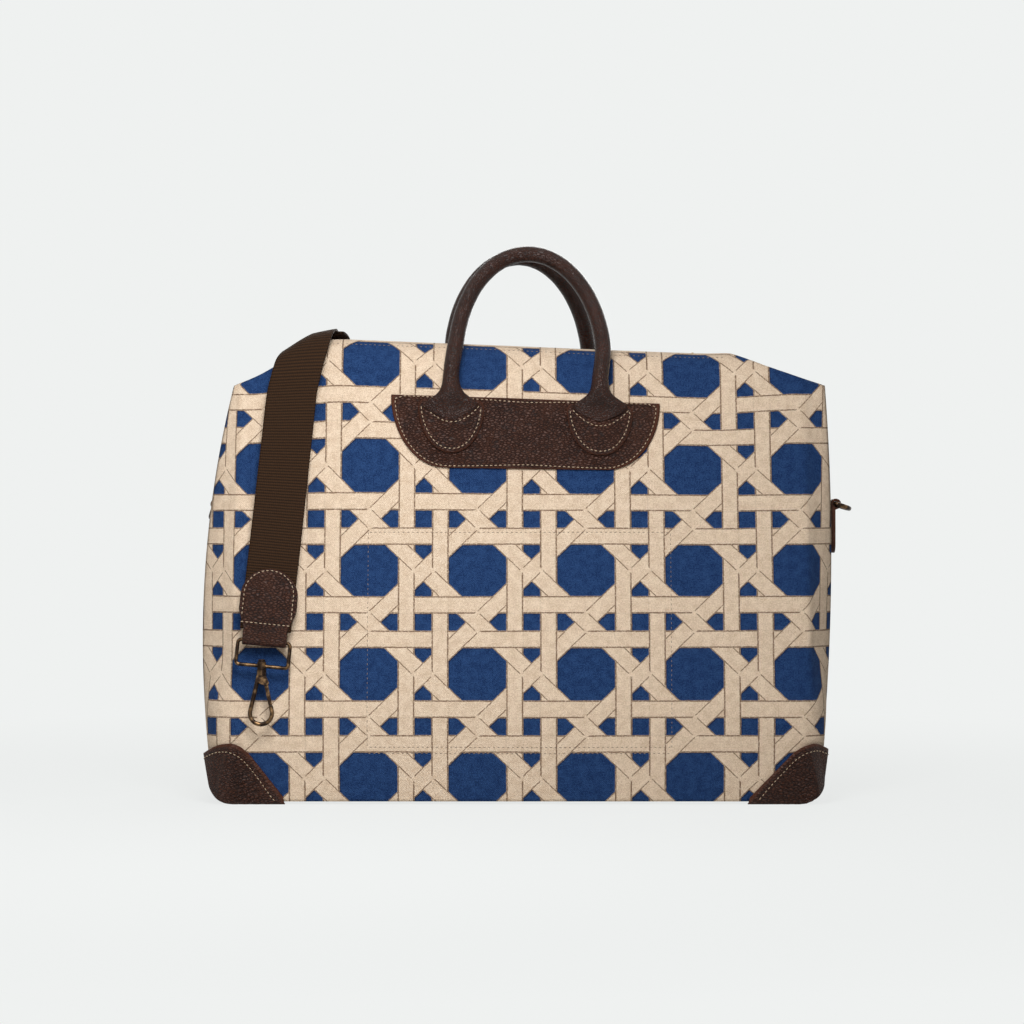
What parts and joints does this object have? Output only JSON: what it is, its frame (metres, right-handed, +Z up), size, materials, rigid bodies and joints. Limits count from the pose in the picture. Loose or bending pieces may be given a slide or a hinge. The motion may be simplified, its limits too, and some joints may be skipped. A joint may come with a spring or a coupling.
{
  "type": "carpet bag",
  "caption": "Soft zip-top travel bag of cane-patterned cloth with rolled leather handles, corner caps, side rings and a webbing strap with swivel clips.",
  "frame": {"origin": "centre of the bag's footprint on the surface that it stands on", "axes": "+Z up, +X to the right of the front, -Y out of the front"},
  "size_m": [0.5342, 0.2259, 0.4546],
  "materials": {
    "cane_cloth": "woven cotton with a cream cane-work pattern on blue",
    "brown_leather": "grained, semi-gloss, burnished edges",
    "clip_brass": "antique, brushed",
    "zip_brass": "antique",
    "zip_tape": "twill tape",
    "lining_cloth": "plain cotton",
    "base_board": "matte sheet",
    "strap_webbing": "ribbed webbing"
  },
  "bodies": {
    "bag": {"front_panel": "cane_cloth", "back_panel": "cane_cloth", "left_gusset": "cane_cloth", "right_gusset": "cane_cloth", "base_panel": "cane_cloth", "front_handle_patch": "brown_leather", "back_handle_patch": "brown_leather", "front_handle": "brown_leather", "back_handle": "brown_leather", "front_left_cap": "brown_leather", "front_right_cap": "brown_leather", "back_left_cap": "brown_leather", "back_right_cap": "brown_leather", "front_strap_tab": "brown_leather", "rear_strap_tab": "brown_leather", "left_ring_tab": "brown_leather", "right_ring_tab": "brown_leather", "zip_teeth_front": "zip_brass", "zip_teeth_back": "zip_brass", "zip_stop_left": "zip_brass", "zip_stop_right": "zip_brass", "zip_tape_front": "zip_tape", "zip_tape_back": "zip_tape", "lining": "lining_cloth", "inner_pocket": "lining_cloth", "base_board": "base_board", "strap_webbing": "strap_webbing"},
    "zip_slider": {"zip_slider": "zip_brass"},
    "zip_pull": {"zip_pull": "zip_brass"},
    "right_ring": {"right_d_ring": "clip_brass"},
    "left_ring": {"left_d_ring": "clip_brass"},
    "front_loop": {"front_clip_loop": "clip_brass"},
    "front_hook": {"front_clip_hook": "clip_brass"},
    "front_gate": {"front_clip_gate": "clip_brass"},
    "rear_loop": {"rear_clip_loop": "clip_brass"},
    "rear_hook": {"rear_clip_hook": "clip_brass"},
    "rear_gate": {"rear_clip_gate": "clip_brass"}
  },
  "joints": [
    {"name": "right_ring_hinge", "type": "hinge", "parent": "bag", "child": "right_ring", "pos_m": [0.25658, -0.04, 0.241], "axis": [0, 1, 0], "range_deg": [-93, 54]},
    {"name": "left_ring_hinge", "type": "hinge", "parent": "bag", "child": "left_ring", "pos_m": [-0.25771, 0.04, 0.241], "axis": [0, -1, 0], "range_deg": [-146, 1]},
    {"name": "zip_slide", "type": "slide", "parent": "bag", "child": "zip_slider", "axis": [1, 0, 0], "range_m": [-0.287, 0]},
    {"name": "zip_pull_hinge", "type": "hinge", "parent": "zip_slider", "child": "zip_pull", "pos_m": [0.142, 0, 0.3645], "axis": [0, -1, 0], "range_deg": [0, 140]},
    {"name": "front_loop_hinge", "type": "hinge", "parent": "bag", "child": "front_loop", "pos_m": [-0.206, -0.10139, 0.131], "axis": [-0.9954, 0.0105, 0.0953], "range_deg": [-1, 110]},
    {"name": "front_hook_swivel", "type": "hinge", "parent": "front_loop", "child": "front_hook", "pos_m": [-0.20791, -0.10495, 0.11141], "axis": [-0.0002, 0.1782, 0.984], "continuous": true},
    {"name": "front_gate_hinge", "type": "hinge", "parent": "front_hook", "child": "front_gate", "pos_m": [-0.20451, -0.10732, 0.09822], "axis": [-0.0067, 0.984, -0.1782], "range_deg": [0, 26], "stiffness_Nm_per_rad": 0.02, "springref_deg": -5.73},
    {"name": "rear_loop_hinge", "type": "hinge", "parent": "bag", "child": "rear_loop", "pos_m": [-0.13749, 0.1043, 0.08], "axis": [0.9877, -0.0006, 0.1564], "range_deg": [-1, 110]},
    {"name": "rear_hook_swivel", "type": "hinge", "parent": "rear_loop", "child": "rear_hook", "pos_m": [-0.13437, 0.10577, 0.0603], "axis": [-0.0004, 0.073, -0.9973], "continuous": true},
    {"name": "rear_gate_hinge", "type": "hinge", "parent": "rear_hook", "child": "rear_gate", "pos_m": [-0.13097, 0.10679, 0.04694], "axis": [-0.0109, 0.9973, 0.073], "range_deg": [0, 26], "stiffness_Nm_per_rad": 0.02, "springref_deg": -5.73}
  ]
}
